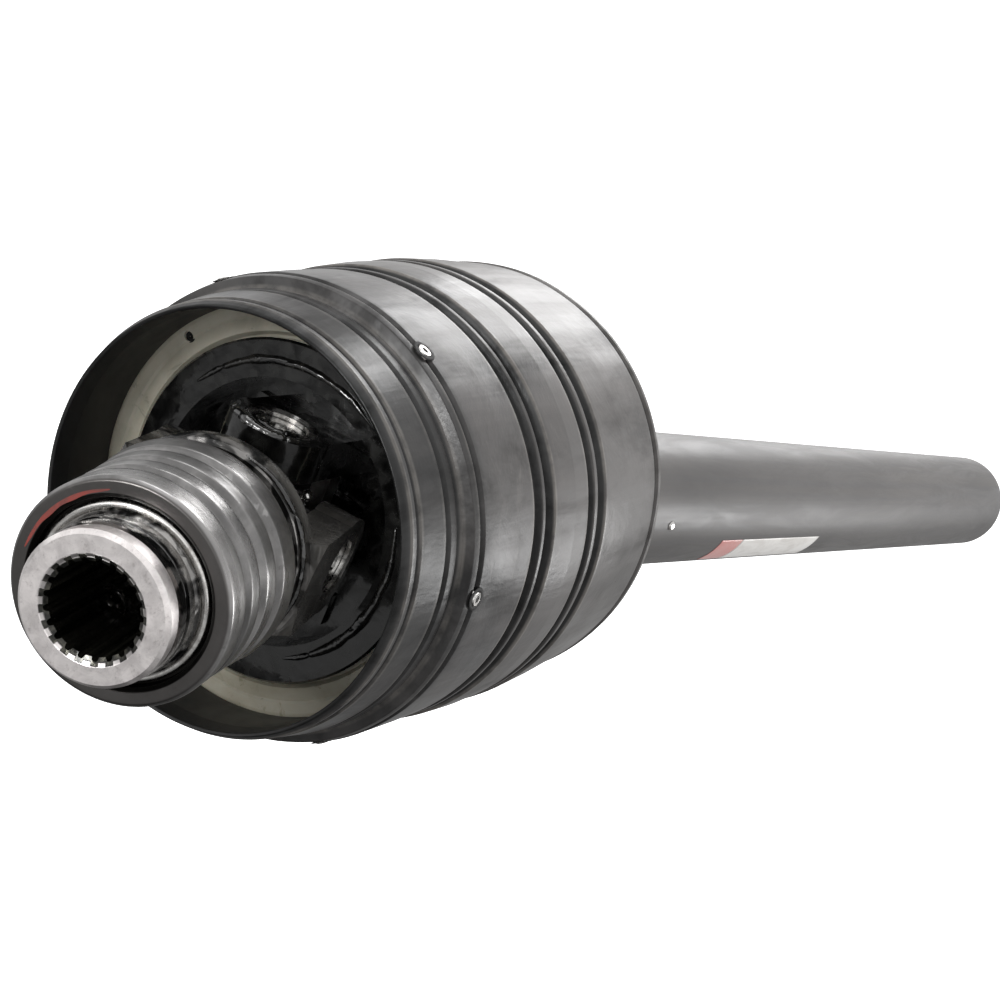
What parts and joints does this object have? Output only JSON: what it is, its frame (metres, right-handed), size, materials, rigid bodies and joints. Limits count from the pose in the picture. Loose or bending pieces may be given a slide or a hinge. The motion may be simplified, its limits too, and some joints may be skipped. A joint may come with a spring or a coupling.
{
  "type": "wide-angle driveline half",
  "caption": "Tractor driveline half: splined quick-release yoke, wide-angle constant-velocity joint in a ribbed guard bell, and a three-lobed drive tube in a guard tube.",
  "frame": {"origin": "centre of the drive tube's open end, on the shaft's axis", "axes": "+X along the drive shaft from its open end towards the joint; the joint is bent about +Z, towards +Y, so Z is along the housing's two cross pins"},
  "size_m": [1.0034, 0.2433, 0.2192],
  "materials": {
    "forged_steel": "dark, oily",
    "machined_steel": "turned",
    "bearing_steel": "ground",
    "zinc_steel": "bright",
    "black_plastic": "satin",
    "grey_plastic": "satin",
    "nylon": "semi-matt",
    "seal_rubber": "matt",
    "label_film": "gloss",
    "collar_steel": "satin, worn"
  },
  "bodies": {
    "drive_shaft": {"drive_tube": "machined_steel", "rear_yoke": "forged_steel", "roll_pin": "zinc_steel", "rear_yoke_cups": "bearing_steel", "rear_yoke_needles": "bearing_steel", "rear_yoke_circlips": "zinc_steel"},
    "rear_spider": {"rear_cross": "forged_steel", "rear_cross_seals": "seal_rubber", "rear_cross_nipple": "zinc_steel"},
    "housing": {"centre_housing": "forged_steel", "housing_cups": "bearing_steel", "housing_needles": "bearing_steel", "housing_circlips": "zinc_steel", "housing_nipple": "zinc_steel"},
    "slide": {"centring_slide": "machined_steel"},
    "disc": {"centring_disc": "machined_steel"},
    "front_spider": {"front_cross": "forged_steel", "front_cross_seals": "seal_rubber", "front_cross_nipple": "zinc_steel"},
    "nose": {"splined_yoke": "forged_steel", "front_yoke_cups": "bearing_steel", "front_yoke_needles": "bearing_steel", "front_yoke_circlips": "zinc_steel", "collar_stop_ring": "zinc_steel", "spring_seat": "machined_steel", "collar_spring": "zinc_steel"},
    "collar": {"slide_collar": "collar_steel"},
    "ball_1": {"lock_ball_1": "bearing_steel"},
    "ball_2": {"lock_ball_2": "bearing_steel"},
    "ball_3": {"lock_ball_3": "bearing_steel"},
    "tube_guard": {"guard_tube": "grey_plastic", "guard_bearing": "nylon", "tube_rivet": "zinc_steel", "label": "label_film"},
    "bell_guard": {"bell": "black_plastic", "bell_bearing": "nylon", "bell_screws": "zinc_steel"}
  },
  "joints": [
    {"name": "rear_tilt", "type": "hinge", "parent": "drive_shaft", "child": "rear_spider", "pos_m": [0.8, 0, 0], "axis": [0, 1, 0], "range_deg": [-14, 14]},
    {"name": "rear_bend", "type": "hinge", "parent": "rear_spider", "child": "housing", "pos_m": [0.8, 0, 0], "axis": [0, 0, 1], "range_deg": [-34, 6]},
    {"name": "front_bend", "type": "hinge", "parent": "housing", "child": "front_spider", "pos_m": [0.87762, 0.01935, 0], "axis": [0, 0, 1], "range_deg": [-34, 6]},
    {"name": "front_tilt", "type": "hinge", "parent": "front_spider", "child": "nose", "pos_m": [0.87762, 0.01935, 0], "axis": [-0.4695, 0.8829, 0], "range_deg": [-14, 14]},
    {"name": "slide_shift", "type": "slide", "parent": "housing", "child": "slide", "axis": [0.2419, -0.9703, 0], "range_m": [-0.022, 0.0045]},
    {"name": "disc_shift", "type": "slide", "parent": "slide", "child": "disc", "axis": [0, 0, 1], "range_m": [-0.0085, 0.0085]},
    {"name": "collar_pull", "type": "slide", "parent": "nose", "child": "collar", "axis": [-0.8829, -0.4695, 0], "range_m": [0, 0.009], "stiffness_N_per_m": 1500, "springref_m": -0.02, "deforming": ["collar_spring"]},
    {"name": "ball_1_release", "type": "slide", "parent": "nose", "child": "ball_1", "axis": [-0.4695, 0.8829, 0], "range_m": [0, 0.0018]},
    {"name": "ball_2_release", "type": "slide", "parent": "nose", "child": "ball_2", "axis": [0.2347, -0.4415, 0.866], "range_m": [0, 0.0018]},
    {"name": "ball_3_release", "type": "slide", "parent": "nose", "child": "ball_3", "axis": [0.2347, -0.4415, -0.866], "range_m": [0, 0.0018]},
    {"name": "tube_guard_spin", "type": "hinge", "parent": "drive_shaft", "child": "tube_guard", "pos_m": [0.8, 0, 0], "axis": [1, 0, 0], "continuous": true},
    {"name": "bell_spin", "type": "hinge", "parent": "housing", "child": "bell_guard", "pos_m": [0.8, 0, 0], "axis": [0.9703, 0.2419, 0], "continuous": true}
  ],
  "couplings": [
    {"joint": "front_bend", "follows": "rear_bend", "ratio": 1},
    {"joint": "front_tilt", "follows": "rear_tilt", "ratio": 1},
    {"joint": "slide_shift", "follows": "rear_bend", "m_per_rad": 0.0324},
    {"joint": "disc_shift", "follows": "rear_tilt", "m_per_rad": 0.0327},
    {"joint": "bell_spin", "follows": "tube_guard_spin", "ratio": 1},
    {"joint": "ball_1_release", "follows": "collar_pull", "ratio": 0.18889},
    {"joint": "ball_2_release", "follows": "collar_pull", "ratio": 0.18889},
    {"joint": "ball_3_release", "follows": "collar_pull", "ratio": 0.18889}
  ]
}
